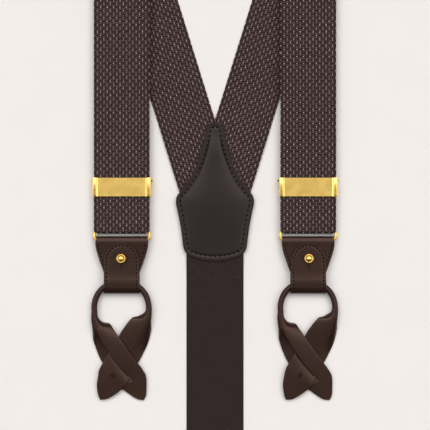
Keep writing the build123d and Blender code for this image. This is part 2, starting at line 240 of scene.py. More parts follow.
def mirrored(obj, name):
    """A copy on the other side of x = 0."""
    mesh = obj.data.copy()
    for vertex in mesh.vertices:
        vertex.co.x = -vertex.co.x
    mesh.flip_normals()
    return placed(mesh, name)


def placed(mesh, name, x=0.0, y=0.0):
    """An object from a mesh, moved in the plane by millimetres."""
    mesh = mesh.copy()
    for vertex in mesh.vertices:
        vertex.co += Vector((x, y, 0)) * MM
    mesh.name = name
    obj = bpy.data.objects.new(name, mesh)
    bpy.context.scene.collection.objects.link(obj)
    return obj


def lathe(name, profile, around=40):
    """A turned piece about Z from (radius, height) pairs; the first and last are on the axis."""
    vertices = [(0, 0, profile[0][1])]
    for r, z in profile[1:-1]:
        for k in range(around):
            turned = 2 * pi * k / around
            vertices.append((r * cos(turned), r * sin(turned), z))
    vertices.append((0, 0, profile[-1][1]))
    faces, last = [], len(vertices) - 1
    for k in range(around):
        nxt = (k + 1) % around
        faces.append((0, 1 + k, 1 + nxt))
        faces.append((last, last - around + nxt, last - around + k))
        for row in range(len(profile) - 3):
            a, b = 1 + row * around + k, 1 + row * around + nxt
            faces.append((a, a + around, b + around, b))
    return mesh_piece(name, vertices, faces, sharp=50)


def stitches(name, seam, pitch, length, width, height):
    """Bead-like stitches along a seam of (x, y, z) points, evenly spaced."""
    vertices, faces = [], []
    total = sum((Vector(b) - Vector(a)).length for a, b in zip(seam, seam[1:]))
    count = max(1, round(total / pitch))
    pitch = total / count
    target, gone = pitch / 2, 0.0
    for a, b in zip(seam, seam[1:]):
        a, b = Vector(a), Vector(b)
        span = (b - a).length
        while span > 1e-6 and target <= gone + span:
            bead(vertices, faces, a.lerp(b, (target - gone) / span), (b - a) / span,
                 (length / 2, width / 2, height / 2))
            target += pitch
        gone += span
    return mesh_piece(name, vertices, faces)


def bead(vertices, faces, centre, along, sizes):
    """One stitch: a rounded bar, squarer than an ellipsoid."""
    across = Z_AXIS.cross(along).normalized()
    up = along.cross(across)
    first, rings, around = len(vertices), 5, 8
    for i in range(rings):
        t = -0.92 + 1.84 * i / (rings - 1)
        girth = (1 - abs(t) ** 3.5) ** 0.5
        for k in range(around):
            turned = 2 * pi * k / around
            offset = along * (t * sizes[0]) + across * (girth * sizes[1] * cos(turned))
            vertices.append(centre + offset + up * (girth * sizes[2] * sin(turned)))
    for i in range(rings - 1):
        for k in range(around):
            a, b = first + i * around + k, first + i * around + (k + 1) % around
            faces.append((a, b, b + around, a + around))
    faces.append(tuple(range(first, first + around)))
    faces.append(tuple(range(len(vertices) - around, len(vertices))))


def rest_on_table(obj):
    """Nothing of a soft piece hangs below the table that it lies on."""
    for vertex in obj.data.vertices:
        vertex.co.z = max(vertex.co.z, 0)


def sink_seam(obj, seam, depth, width, above=0.3):
    """Press a groove along a seam into the faces that look up."""
    tree = KDTree(len(seam))
    for i, point in enumerate(seam):
        tree.insert(Vector(point) * MM, i)
    tree.balance()
    for vertex in obj.data.vertices:
        if vertex.normal.z > above:
            distance = tree.find(vertex.co)[2] / MM
            vertex.co.z -= depth * MM * exp(-((distance / width) ** 2))


# --- webbing ----------------------------------------------------------------------------------


def in_side_plane(x, y, z, turned):
    """Centre, across and normal of a strip that runs in the plane of Y and Z."""
    normal = Vector((0, -sin(turned), cos(turned)))
    return Vector((x, y, z)), X_AXIS, normal


def arc_points(y, z, radius, start, end, steps):
    """(y, z, direction) along a left-hand turn about a centre, directions in radians."""
    out = []
    for k in range(steps + 1):
        turned = start + (end - start) * k / steps
        out.append((y + radius * sin(turned), z - radius * cos(turned), turned))
    return out


def arm_path():
    """The lower run of the left strap, from under the patch to the start of its fold."""
    c, s = cos(ARM_LEAN), sin(ARM_LEAN)

    def leaning(along):
        across = -STRAP_HALF
        return Vector((across * c - along * s, JUNCTION_Y + across * s + along * c, 0))

    straight = (ARM_STRAIGHT_TOP + STRAP_HALF * s) / c
    knee = leaning(straight)
    bend = (knee.x - RING["left"].x) / (1 - c)
    bend = abs(bend)
    path = []
    steps = 60
    for k in range(steps):
        along = -58 + (straight + 58) * k / steps
        z = WEB / 2 + LINING_TOP * (1 - ease(along, 0, ARM_SLOPE))
        path.append((leaning(along) + Vector((0, 0, z)), Vector((c, s, 0))))
    centre = knee + Vector((c, s, 0)) * bend
    for k in range(31):
        turned = ARM_LEAN * (1 - k / 30)
        radial = Vector((cos(turned), sin(turned), 0))
        path.append((centre - radial * bend + Vector((0, 0, WEB / 2)), radial))
    top = path[-1][0]
    fold_y = SHOULDER_Y - FOLD_RADIUS - WEB / 2
    for k in range(1, 40):
        y = top.y + (fold_y - top.y) * k / 40
        path.append((Vector((RING["left"].x, y, WEB / 2)), X_AXIS))
    return path, fold_y


def with_distance(rows, start=0.0):
    """Add the distance along to rows whose first item is the centre."""
    along, out = start, []
    for i, row in enumerate(rows):
        if i:
            along += (row[0] - rows[i - 1][0]).length
        out.append((*row, along))
    return out


def webbing_stations():
    """The whole left strap, from under the patch to its end on the adjuster's bar."""
    x = RING["left"].x
    path, fold_y = arm_path()
    rows = [(centre, across, Z_AXIS, STRAP_HALF) for centre, across in path]
    side = arc_points(fold_y, WEB / 2 + FOLD_RADIUS, FOLD_RADIUS, 0, pi + FOLD_DROP, 24)
    y, z, turned = side[-1]
    drop = (z - UPPER_Z) - FOLD_LEVEL_RADIUS * (1 - cos(FOLD_DROP))
    ramp = drop / sin(FOLD_DROP)
    y += cos(turned) * ramp
    z += sin(turned) * ramp
    centre_y = y - FOLD_LEVEL_RADIUS * sin(FOLD_DROP)
    for k in range(9):
        left = FOLD_DROP * (1 - k / 8)
        level_y = centre_y + FOLD_LEVEL_RADIUS * sin(left)
        level_z = UPPER_Z + FOLD_LEVEL_RADIUS * (1 - cos(left))
        side.append((level_y, level_z, pi + left))
    top_y, ring_y = side[-1][0], RING["left"].y
    for k in range(1, 100):
        side.append((top_y + (ring_y - top_y) * k / 100, UPPER_Z, pi))
    side += arc_points(ring_y, BAR_Z, (UPPER_Z - RETURN_Z) / 2, pi, 2 * pi, 16)
    turn_end = len(rows) + len(side) - 1
    bar = ADJUSTER_BAR
    for k in range(1, 12):
        side.append((ring_y + (bar.y - ring_y) * k / 12, RETURN_Z, 2 * pi))
    side += arc_points(bar.y, bar.z, bar.z - RETURN_Z, 2 * pi, 3 * pi, 12)
    side.append((bar.y - 5, side[-1][1], 3 * pi))
    for y, z, turned in side:
        gather = ease(turned, pi + 0.25, pi + 1.3) * (1 - ease(y, ring_y + 4, bar.y))
        half = STRAP_HALF - (STRAP_HALF - GATHERED_HALF) * gather
        if turned > 2 * pi - 0.01:
            half = min(half, STRAP_HALF - 0.8)
        rows.append((*in_side_plane(x, y, z, turned), half))
    return with_distance(rows), turn_end


def strap_pieces():
    """Each strap in three meshes: up to the fold, down to the ring, and back to the adjuster."""
    stations, turn_end = webbing_stations()
    crest = next(i for i, row in enumerate(stations) if row[2].z < -0.9)
    lower = ribbon("left_lower_webbing", stations[:crest + 1], WEB)
    cut_at_middle(lower)
    upper = ribbon("left_upper_webbing", stations[crest:turn_end + 1], WEB)
    back = ribbon("left_return_webbing", stations[turn_end:], WEB)
    for side, x in (("left", RING["left"].x), ("right", RING["right"].x)):
        three = (lower, upper, back)
        if side == "right":
            three = [mirrored(obj, obj.name.replace("left", "right")) for obj in three]
        run, front, under = three
        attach(run, "patch_and_straps")
        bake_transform(front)
        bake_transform(under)
        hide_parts(f"{side}_strap")
        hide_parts(f"{side}_strap_loop")
        for obj in three:
            dress(obj, "strap_fabric")


def cut_at_middle(obj):
    """Trim the arm where it meets its twin under the patch."""
    work = bmesh.new()
    work.from_mesh(obj.data)
    everything = work.verts[:] + work.edges[:] + work.faces[:]
    cut = bmesh.ops.bisect_plane(
        work, geom=everything, plane_co=(-0.05 * MM, 0, 0), plane_no=(1, 0, 0), clear_outer=True
    )
    edges = [item for item in cut["geom_cut"] if isinstance(item, bmesh.types.BMEdge)]
    bmesh.ops.holes_fill(work, edges=edges)
    work.to_mesh(obj.data)
    work.free()
    finish_shading(obj.data, 40)


def elastic_piece():
    """The back elastic, from under the patch, round the back ring and sewn to itself."""
    ring_y = RING["back"].y
    table, sewn = WEB / 2, LINING_TOP + WEB / 2
    split = high("back_elastic_loop").y
    corners = [(high("back_elastic").y, sewn), (PATCH_END + 1, sewn), (PATCH_END - 11, table)]
    corners += [(split + 36, table), (split + 8, UPPER_Z - 0.4), (split - 2, UPPER_Z), (ring_y, UPPER_Z)]
    side = rounded_run(corners)
    side += arc_points(ring_y, BAR_Z, (UPPER_Z - RETURN_Z) / 2, pi, 2 * pi, 16)[1:]
    tail = [(ring_y, RETURN_Z), (ring_y + 4, RETURN_Z), (ring_y + 10, UPPER_Z - 1.1)]
    tail.append((ring_y + BACK_SEWN_END, UPPER_Z - WEB - 0.05))
    side += rounded_run(tail)[1:]
    rows = []
    for y, z, turned in side:
        gather = ease(turned, pi + 0.25, pi + 1.3)
        if turned > 1.9 * pi:
            gather *= 1 - ease(y, ring_y + 4, ring_y + 12)
        half = ELASTIC_HALF - (ELASTIC_HALF - GATHERED_HALF) * gather
        rows.append((*in_side_plane(0, y, z, turned), half))
    elastic = ribbon("back_elastic_band", with_distance(rows), WEB)
    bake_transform(elastic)
    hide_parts("back_elastic", "back_elastic_loop")
    dress(elastic, "elastic_fabric")
    top = UPPER_Z + WEB / 2
    rows = []
    for k, row in enumerate(BACK_SEAM_ROWS):
        seam = [(x, ring_y + row, top) for x in (-ELASTIC_HALF + 2, ELASTIC_HALF - 2)]
        rows.append(stitches(f"back_elastic_seam_{k}", seam, 2.2, 1.6, 0.5, 0.5))
    for seam in rows:
        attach(seam, "back_loop")
        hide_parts("back_loop_stitching")
        dress(seam, "thread")


def rounded_run(corners):
    """(y, z, direction) along a polyline whose corners are softened."""
    points = []
    for (y0, z0), (y1, z1) in zip(corners, corners[1:]):
        count = max(2, int(abs(y1 - y0) / 1.5))
        points += [[y0 + (y1 - y0) * k / count, z0 + (z1 - z0) * k / count] for k in range(count)]
    points.append(list(corners[-1]))
    for _ in range(6):
        points = [points[0]] + [
            [(a[0] + 2 * b[0] + c[0]) / 4, (a[1] + 2 * b[1] + c[1]) / 4]
            for a, b, c in zip(points, points[1:], points[2:])
        ] + [points[-1]]
    out, forward = [], corners[-1][0] > corners[0][0]
    for i, (y, z) in enumerate(points):
        a, b = points[max(i - 1, 0)], points[min(i + 1, len(points) - 1)]
        slope = (b[1] - a[1]) / (b[0] - a[0])
        out.append((y, z, (2 * pi if forward else pi) + slope))
    return out


# --- back patch -------------------------------------------------------------------------------


def patch_outline():
    """The right-hand edge of the kite, tip to foot, as (half width, y) in even steps."""
    ends = [(0, 0), (2.6, -0.7), (5.2, -3.6)]
    waist = [(8.4, -16.3), (13.8, -31.6), (20.6, -42.2)]
    shoulder = [(24.0, -46.6), (24.9, -51.0), (23.9, -56.5)]
    hip = [(22.1, -65.5), (20.9, -74.0), (20.3, -79.0)]
    foot = [(18.9, -82.6), (15.6, -85.3), (8.0, -87.5), (0, -88.2)]
    return [(x, PATCH_TIP + y) for x, y in spline(ends + waist + shoulder + hip + foot, 14)]


def patch_height(x, y, inner):
    """Height of the padding inside the seam; inner gives the seam's half width at a height y."""
    side = inner(y)
    if side <= 0.5 or abs(x) >= side:
        return 0
    tip = ease(y, PATCH_TIP - 42, PATCH_TIP - 16)
    crown = 2 + 0.7 * tip if x > 0 else 2 + 2 * tip
    foot = ease(y, PATCH_END + 2.5, PATCH_END + 40)
    top = 1 - ease(y, PATCH_TIP - 20, PATCH_TIP - 4)
    full = 1.3 + 0.6 * ease(side, 5, 20)
    return full * foot * top * (1 - (abs(x) / side) ** crown)


def patch_pieces():
    edge = patch_outline()
    thick = high("back_patch").z - PATCH_BASE - 0.25
    top = PATCH_BASE + thick
    rows = []
    for x, y in edge[1:-1]:
        rows.append((Vector((0, y, PATCH_BASE + thick / 2)), X_AXIS, Z_AXIS, x, PATCH_TIP - y))
    patch = ribbon("back_patch_leather", rows, thick, 0.45, columns=60)
    line = inset_line(edge, PATCH_SEAM_INSET)
    seam = [(x, y, top + 0.02) for x, y in line]
    seam = seam + [(-x, y, z) for x, y, z in reversed(seam)][1:]

    def inner(y):
        for (x0, y0), (x1, y1) in zip(line, line[1:]):
            if y0 >= y >= y1 and y0 > y1:
                return x0 + (x1 - x0) * (y0 - y) / (y0 - y1)
        return 0

    for vertex in patch.data.vertices:
        if vertex.co.z > (top - 0.2) * MM:
            vertex.co.z += patch_height(vertex.co.x / MM, vertex.co.y / MM, inner) * MM
    sink_seam(patch, seam, 0.35, 0.8)
    threads = stitches("back_patch_threads", seam, 3.07, 1.25, 1.05, 0.5)
    for obj, node, look in ((patch, "back_patch", "patch_leather"),
                            (threads, "back_patch_stitching", "thread")):
        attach(obj, "patch_and_straps")
        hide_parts(node)
        dress(obj, look)


def inset_line(edge, inset):
    """A line inside the right-hand edge of a symmetric outline, from the axis to the axis."""
    out = []
    for i, (x, y) in enumerate(edge):
        a, b = edge[max(i - 1, 0)], edge[min(i + 1, len(edge) - 1)]
        along = Vector((b[0] - a[0], b[1] - a[1])).normalized()
        point = (x + along.y * inset, y - along.x * inset)
        if point[0] > 0 and (not out or point[1] < out[-1][1]):
            out.append(point)
    return [(0, out[0][1] + 0.2)] + out + [(0, out[-1][1] - 0.1)]


# --- leather ends -----------------------------------------------------------------------------


def yoke_rise(y):
    """The yoke swells beside the bar and sinks towards the loop."""
    return 0.3 * exp(-(((y + 7.4) / 1.9) ** 2)) - 0.45 * ease(-y, 9, 17)


def fold_over_bar():
    """Stations of the yoke: down its back, round the bar and down its front."""
    leather = 1.2
    reach = WIRE_R + leather / 2 + 0.05
    sides = [(16.3, -3.6), (16.7, -7.5), (16.4, -11.0), (15.2, -15.6), (13.7, -20.1), (11.6, -26.0)]
    shape = [(half, y) for half, y in spline(sides, 10) if y < -RING_DROP - 0.6]
    rows = []
    for half, y in reversed(shape):
        if y > -23.4:
            rows.append((y, BAR_Z - reach, 0, half))
    for k in range(17):
        turned = pi * k / 16
        y = -RING_DROP + reach * sin(turned)
        rows.append((y, BAR_Z - reach * cos(turned), turned, 16.35))
    for half, y in shape:
        rise = yoke_rise(y)
        rows.append((y, BAR_Z + reach + rise, pi, half))
    stations = []
    for y, z, turned, half in rows:
        centre, across, normal = in_side_plane(0, y, z, turned)
        stations.append((centre, across, -normal, half))
    return with_distance(stations), shape, BAR_Z + reach + leather / 2


def yoke_pieces():
    """The yoke's leather and its stitching, made about the middle of a ring's upper bar."""
    stations, shape, top = fold_over_bar()
    yoke = ribbon("yoke_leather", stations, 1.2, 0.35, columns=40)
    line = [(x, y) for x, y in inset_side(shape, SEAM_INSET) if -22.5 < y < -8.2]
    seam = [(x, y, top + yoke_rise(y) + 0.02) for x, y in line]
    other = [(-x, y, z) for x, y, z in seam]
    sink_seam(yoke, seam + other, 0.25, 0.5)
    threads = joined([stitches("side", points, 2.35, 1.3, 1.0, 0.5) for points in (seam, other)])
    threads.name = "yoke_threads"
    return [(yoke, "yoke", "tab_leather"), (threads, "yoke_stitching", "thread")]


def inset_side(shape, inset):
    out = []
    for i, (x, y) in enumerate(shape):
        a, b = shape[max(i - 1, 0)], shape[min(i + 1, len(shape) - 1)]
        along = Vector((b[0] - a[0], b[1] - a[1])).normalized()
        out.append((x + along.y * inset, y - along.x * inset))
    return out


def at_each_end(obj, name):
    """Copies of a piece made about a ring's upper bar, one at each ring, under new names."""
    copies = {}
    for end, ring in RING.items():
        copies[end] = placed(obj.data, f"{end}_{name}", ring.x, ring.y)
    bpy.data.objects.remove(obj)
    return copies


def joined(objects):
    """One object that holds the meshes of several."""
    work = bmesh.new()
    for obj in objects:
        work.from_mesh(obj.data)
    mesh = objects[0].data.copy()
    work.to_mesh(mesh)
    work.free()
    for obj in objects:
        bpy.data.objects.remove(obj)
    finish_shading(mesh, 40)
    return placed(mesh, "joined")


def flap_rise(y):
    """The flap dips round the stud and lifts where it goes over the rolled loop."""
    over = LOOP_Y + LOOP_R
    return 0.6 * exp(-(((y - over) / 3.8) ** 2)) - 0.12 * exp(-(((y - STUD_Y) / 4.5) ** 2))


def flap_half(y):
    """Half width: an oval top on straight sides."""
    centre, height = -20.1, FLAP_APEX + 20.1
    if y <= centre:
        return FLAP_HALF
    t = min(1, (y - centre) / height)
    return FLAP_HALF * max(1 - t * t, 0) ** 0.5


def flap_pieces():
    """The flap, its stitching and the tail under it, made about the middle of a ring's upper bar."""
    middle = FLAP_TOP - FLAP_LEATHER / 2
    rows = []
    for k in range(1, 22):
        y = FLAP_APEX - 12.5 * (1 - cos(pi / 2 * k / 21))
        rows.append((y, middle + flap_rise(y), pi))
    for k in range(1, 41):
        y = -20.1 + (FLAP_FOLD_Y + 20.1) * k / 40
        rows.append((y, middle + flap_rise(y), pi))
    radius = FLAP_FOLD_Y - FLAP_END - FLAP_LEATHER / 2
    fold = []
    for k in range(1, 21):
        turned = pi * k / 20
        y = FLAP_FOLD_Y - radius * sin(turned)
        fold.append((y, middle - radius * (1 - cos(turned)), pi + turned))
    tail_z = fold[-1][1]
    tail = rounded_run([(FLAP_FOLD_Y, tail_z), (-30.4, tail_z), (-24.4, BAR_Z), (-10.5, BAR_Z)])
    cut = 9
    upper = with_distance([flap_station(row) for row in rows + fold[:cut]])
    lower = with_distance([flap_station(row) for row in fold[cut - 1:] + tail[1:]], upper[-1][-1])
    flap = ribbon("flap_leather", upper, FLAP_LEATHER, 0.35, columns=44)
    outline = [(flap_half(y), y) for y, _, _ in rows] + [(FLAP_HALF, FLAP_FOLD_Y - 1)]
    line = [(0.0, FLAP_APEX - SEAM_INSET)] + inset_side(outline, SEAM_INSET)[2:]
    seam = [(x, y, FLAP_TOP + flap_rise(y) + 0.02) for x, y in line if x >= 0]
    seam = [(-x, y, z) for x, y, z in reversed(seam)] + seam[1:]
    sink_seam(flap, seam, 0.3, 0.5)
    cut_holes(flap, [round_cutter(0, STUD_Y, FLAP_TOP, 1.75, 6),
                     slit_cutter(0, STUD_Y - 4.1, FLAP_TOP, 0.42, 5.6, 6)])
    threads = stitches("flap_threads", seam, 2.35, 1.3, 1.0, 0.5)
    under = ribbon("tail_leather", lower, FLAP_LEATHER, 0.35, columns=12)
    return [(flap, "flap", "tab_leather"), (threads, "flap_stitching", "thread"),
            (under, "flap_tail", "tab_leather")]


def flap_station(row):
    y, z, turned = row
    centre, across, normal = in_side_plane(0, y, z, turned)
    return centre, across, -normal, flap_half(y) if turned < pi + 0.01 else FLAP_HALF


def round_cutter(x, y, z, radius, height):
    work = bmesh.new()
    round_bar = bmesh.ops.create_cone(
        work, cap_ends=True, segments=28, radius1=radius * MM, radius2=radius * MM, depth=height * MM
    )
    bmesh.ops.translate(work, verts=round_bar["verts"], vec=Vector((x, y, z)) * MM)
    return work


def slit_cutter(x, y, z, width, length, height):
    work = bmesh.new()
    block = bmesh.ops.create_cube(work, size=1)
    bmesh.ops.scale(work, verts=block["verts"], vec=Vector((width, length, height)) * MM)
    bmesh.ops.translate(work, verts=block["verts"], vec=Vector((x, y, z)) * MM)
    return work


def cut_holes(obj, cutters):
    """Take each cutter's shape out of an object."""
    for work in cutters:
        mesh = bpy.data.meshes.new("cutter")
        work.to_mesh(mesh)
        work.free()
        cutter = bpy.data.objects.new("cutter", mesh)
        bpy.context.scene.collection.objects.link(cutter)
        cut = obj.modifiers.new("cut", "BOOLEAN")
        cut.operation = "DIFFERENCE"
        cut.solver = "EXACT"
        cut.object = cutter
        apply_modifiers(obj)
        bpy.data.objects.remove(cutter)
    finish_shading(obj.data, 60)


def stud():
    """A ball with a dome inside a turned rim, on its neck, and a foot on the yoke."""
    top = STUD_TOP
    profile = [(0, top)]
    for k in range(1, 8):
        turned = radians(11 * k)
        profile.append((2.15 * sin(turned), top - 1.5 * (1 - cos(turned))))
    profile += [(2.2, top - 1.28), (2.32, top - 1.16), (2.5, top - 1.12), (2.7, top - 1.18)]
    profile += [(2.88, top - 1.36), (3.0, top - 1.65), (3.05, top - 2.1), (3.05, top - 2.6)]
    for degrees in range(105, 166, 15):
        turned = radians(degrees)
        profile.append((3.05 * sin(turned), top - 2.6 + 3.05 * cos(turned)))
    profile += [(1.25, top - 6.1), (1.25, FLAP_TOP - 1.6), (2.2, FLAP_TOP - 1.62)]
    profile += [(2.2, YOKE_TOP - 0.05), (0, YOKE_TOP - 0.05)]
    profile = [point for point in profile if point[1] > FLAP_TOP - 1.3 or point[0] in (0, 1.25, 2.2)]
    ball = lathe("ball_stud", profile)
    for vertex in ball.data.vertices:
        vertex.co.y += STUD_Y * MM
    return ball


# --- rolled loop and ears -----------------------------------------------------------------------

# Stations from the tip of one ear, up its branch, over the loop and down to the tip of the other.
# Each has the middle line (x, y, z), then for the inner and the outer half of the strip: the
# direction across in degrees, the width, and the degrees through which it curls under.
EAR_B = [
    (-13.7, -57.7, 1.9, 160, 0.4, 0, -20, 0.4, 0),
    (-12.3, -55.4, 2.3, 168, 2.9, 0, -38, 3.1, 0),
    (-9.4, -50.5, 2.9, 163, 6.9, 0, -33, 6.4, 0),
    (-7.2, -46.2, 3.5, 154, 8.9, 3, -31, 8.6, 5),
    (-5.3, -42.0, 3.8, 150, 9.9, 3, -30, 9.7, 5),
    (0.9, -31.3, 3.0, 150, 9.8, 0, -30, 9.6, 8),
    (5.6, -23.6, 3.5, 150, 9.9, 0, -30, 9.3, 22),
    (10.2, -17.2, 4.2, 150, 10.6, 4, -29, 8.3, 44),
    (14.5, -10.4, 5.0, 150, 9.7, 16, -24, 6.6, 80),
    (16.2, -6.5, 5.4, 160, 7.2, 48, -14, 6.8, 150),
    (16.9, -3.6, 5.5, 168, 7.4, 110, -7, 6.2, 172),
    (17.2, -1.0, 5.5, 176, 6.8, 165, -3, 6.0, 180),
]
EAR_A_INNER = [
    (-17.5, -1.0, 5.5, 4, 6.0, 180),
    (-17.6, -5.0, 5.5, 9, 7.0, 168),
    (-16.9, -9.0, 5.4, 18, 8.8, 122),
    (-15.6, -13.5, 5.5, 30, 10.0, 52),
    (-13.6, -18.0, 5.4, 36, 10.2, 26),
    (-8.6, -26.0, 5.0, 36, 10.3, 8),
    (-2.0, -35.6, 4.6, 35, 10.3, 4),
    (3.5, -42.6, 3.0, 33, 10.3, 2),
    (7.0, -46.4, 2.3, 24, 9.0, 0),
    (9.6, -50.5, 1.9, 15, 6.2, 0),
    (12.3, -55.5, 1.7, 10, 3.0, 0),
    (13.5, -58.0, 1.6, 20, 0.4, 0),
]
EAR_A_OUTER = [
    (-17.5, -1.0, 5.5, 184, 6.0, 180),
    (-17.6, -5.0, 5.5, 188, 6.2, 172),
    (-16.9, -9.0, 5.4, 195, 6.0, 140),
    (-15.6, -13.5, 4.9, 204, 5.2, 85),
    (-12.6, -17.8, 3.2, 208, 6.4, 27),
    (-6.2, -24.6, 1.6, 210, 10.0, 2),
    (-0.9, -31.8, 1.5, 210, 11.4, 0),
    (4.9, -42.2, 1.8, 210, 11.2, 2),
    (7.0, -46.4, 2.3, 211, 8.6, 10),
    (9.6, -50.5, 1.9, 213, 6.4, 5),
    (12.3, -55.5, 1.7, 220, 3.1, 0),
    (13.5, -58.0, 1.6, 200, 0.4, 0),
]
A_HOLE = (5.0, -43.2)
HOLE_R = 1.6
SLIT_GAP = 0.03
HALF_COLUMNS = 9
SPAN_STEPS = 8


def loop_stations():
    """The rolled part, from the right branch over the top to the left one."""
    rows = []
    for k in range(13):
        at = radians(8 + 164 * k / 12)
        across = 8 + 164 * k / 12
        wide = 1 + 0.035 * sin(2 * at) ** 2
        x, y = LOOP_R * wide * cos(at), LOOP_R * wide * sin(at)
        rows.append((x - 0.25 * (1 - cos(at)), y, ROLL_CREST_Z, across + 180, 6.0, 180, across, 6.0, 180))
    return rows


def ear_rows():
    """Inner and outer half-strips as matching lists of (x, y, z, direction, width, curl)."""
    rows = EAR_B + loop_stations()
    inner = [row[:6] for row in rows]
    outer = [(*row[:3], *row[6:]) for row in rows]
    inner += [(*row[:3], row[3] + 360, *row[4:]) for row in EAR_A_INNER]
    outer += EAR_A_OUTER
    return spline(inner, SPAN_STEPS), spline(outer, SPAN_STEPS)


def meet(row_in, row_out):
    """Both halves with one middle line where they all but touch."""
    first, second = Vector(row_in[:3]), Vector(row_out[:3])
    if (first - second).length > 0.45:
        return row_in, row_out
    middle = tuple((first + second) / 2)
    return (*middle, *row_in[3:]), (*middle, *row_out[3:])


def half_strip(row, gap, share):
    """Points from the middle line outwards, curling down, with a share of ear B's rise."""
    x, y, z, direction, width, curl = row
    out = Vector((cos(radians(direction)), sin(radians(direction)), 0))
    bend = max(radians(curl), 1e-3) / width
    points = []
    for k in range(HALF_COLUMNS + 1):
        along = gap + (width - gap) * k / HALF_COLUMNS
        reach, fall = sin(bend * along) / bend, (1 - cos(bend * along)) / bend
        point = Vector((x, y, z - fall)) + out * reach
        point.z += share * under_to_over(point.x, point.y)
        points.append(point)
    return points


def under_to_over(x, y):
    """How far ear B rises as it comes up through the slit in ear A."""
    past = -(x + 2.0) * 0.82 - (y + 35.6) * 0.57
    return -0.75 + 1.0 * ease(past, -3.5, 3.5)


def round_hole(row, centre):
    """How far the edge beside a slit stands back where the slit opens into a hole."""
    reach = (Vector(row[:2]) - Vector(centre)).length
    return max(HOLE_R**2 - reach**2, 0) ** 0.5


def ears_mesh():
    inner, outer = ear_rows()
    b_rows = (len(EAR_B) - 1) * SPAN_STEPS
    a_start = len(inner) - len(EAR_A_INNER) * SPAN_STEPS
    vertices, faces, uvs, index = [], [], [], []
    for i, (row_in, row_out) in enumerate(zip(inner, outer)):
        row_in, row_out = meet(row_in, row_out)
        share, gaps = 0.0, [0.0, 0.0]
        if i < b_rows:
            share = ease(b_rows - i, 2 * SPAN_STEPS, 6 * SPAN_STEPS)
            gaps = [SLIT_GAP if 4 * SPAN_STEPS < i < 7.2 * SPAN_STEPS else 0] * 2
        elif i > a_start:
            gaps[0] = round_hole(row_in, A_HOLE)
        split = max(gaps) > 0 or (Vector(row_in[:3]) - Vector(row_out[:3])).length > 0.05
        rows = []
        for half, row in enumerate((row_in, row_out)):
            ids = []
            for k, point in enumerate(half_strip(row, gaps[half], share)):
                if half == 1 and k == 0 and not split:
                    ids.append(rows[0][0])
                    continue
                ids.append(len(vertices))
                vertices.append(point + Vector((0, LOOP_Y, 0)))
                sign = -1 if half else 1
                uvs.append((sign * k * 1.1 * MM, i * 1.2 * MM))
            rows.append(ids)
        index.append(rows)
    for a, b in zip(index, index[1:]):
        for half in (0, 1):
            for k in range(HALF_COLUMNS):
                faces.append((a[half][k], a[half][k + 1], b[half][k + 1], b[half][k]))
    return vertices, faces, uvs


def ears():
    """The rolled loop and both ears, one strip of leather, made about a ring's upper bar."""
    vertices, faces, uvs = ears_mesh()
    strip = mesh_piece("ears_leather", vertices, faces, uvs, sharp=180)
    if sum(polygon.normal.z for polygon in strip.data.polygons) < 0:
        strip.data.flip_normals()
    shell = strip.modifiers.new("shell", "SOLIDIFY")
    shell.thickness = EAR_LEATHER * MM
    shell.offset = -1
    shell.use_even_offset = False
    edge = strip.modifiers.new("edge", "BEVEL")
    edge.width = 0.18 * MM
    edge.segments = 2
    edge.limit_method = "ANGLE"
    edge.angle_limit = radians(55)
    apply_modifiers(strip)
    x, y, z = EAR_B[4][:3]
    cut_holes(strip, [round_cutter(x, LOOP_Y + y, z, HOLE_R, 2.8)])
    rest_on_table(strip)
    return strip


def end_pieces():
    """Yoke, flap, stud and rolled loop, made once and set at all three ends."""
    riding = yoke_pieces() + [(stud(), "stud", "gold_metal"), (ears(), "ears", "tab_leather")]
    bending = flap_pieces()
    riding.append(bending.pop())
    for obj, node, look in riding + bending:
        for end, copy in at_each_end(obj, obj.name).items():
            if (obj, node, look) in riding:
                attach(copy, f"{end}_ears" if node == "ears" else f"{end}_tab")
            else:
                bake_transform(copy)
            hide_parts(f"{end}_{node}")
            dress(copy, look)


# --- adjuster ---------------------------------------------------------------------------------


def cover_pieces(side):
    """The bent plate: flanges down both sides, a flat margin and a raised panel."""
    body = f"{side}_adjuster"
    node = f"{side}_adjuster_cover"
    first, last = low(node), high(node)
    x0 = RING[side].x
    half = (last.x - first.x) / 2
    sheet, foot, flat = COVER_SHEET, first.z, last.z - PANEL_RISE
    panel, top = half - COVER_MARGIN, last.z
    outer = [(half - 0.15, foot), (half, foot + 0.2)]
    for k in range(6):
        turned = pi / 2 * k / 5
        outer.append((half - 0.6 + 0.6 * cos(turned), flat - 0.6 + 0.6 * sin(turned)))
    outer += [(half - 0.7, flat), (panel + 0.5, flat), (panel + 0.4, flat), (panel + 0.25, flat + 0.05)]
    for k in range(7):
        turned = pi / 2 * k / 6
        outer.append((panel - 1.2 + 1.35 * cos(turned), flat + 0.1 + (top - flat - 0.1) * sin(turned)))
    outer.append((panel - 1.5, top + 0.003))
    inner = [(panel - 0.7, flat - sheet), (half - 1.2, flat - sheet), (half - sheet, flat - sheet - 0.5)]
    inner += [(half - sheet, foot)]
    right = outer + [(panel * 0.5, top + 0.03), (0, top + 0.04)]
    profile = right + [(-x, z) for x, z in reversed(right[:-1])]
    profile += [(-x, z) for x, z in reversed(inner)] + inner
    ends = ((first.y, 0.14), (first.y + 0.14, 0), (last.y - 0.14, 0), (last.y, 0.14))
    vertices = []
    middle = (foot + top) / 2
    for y, pinch in ends:
        for x, z in profile:
            scale = 1 - pinch / half
            vertices.append((x0 + x * scale, y, z - pinch * (1 if z > middle else -1) * 0.7))
    faces = closed_faces(len(vertices), len(ends))
    cover = mesh_piece(f"{side}_cover_plate", vertices, faces, sharp=35)
    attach(cover, body)
    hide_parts(node)
    dress(cover, "gold_metal")


# --- materials --------------------------------------------------------------------------------

LOOKS = {}


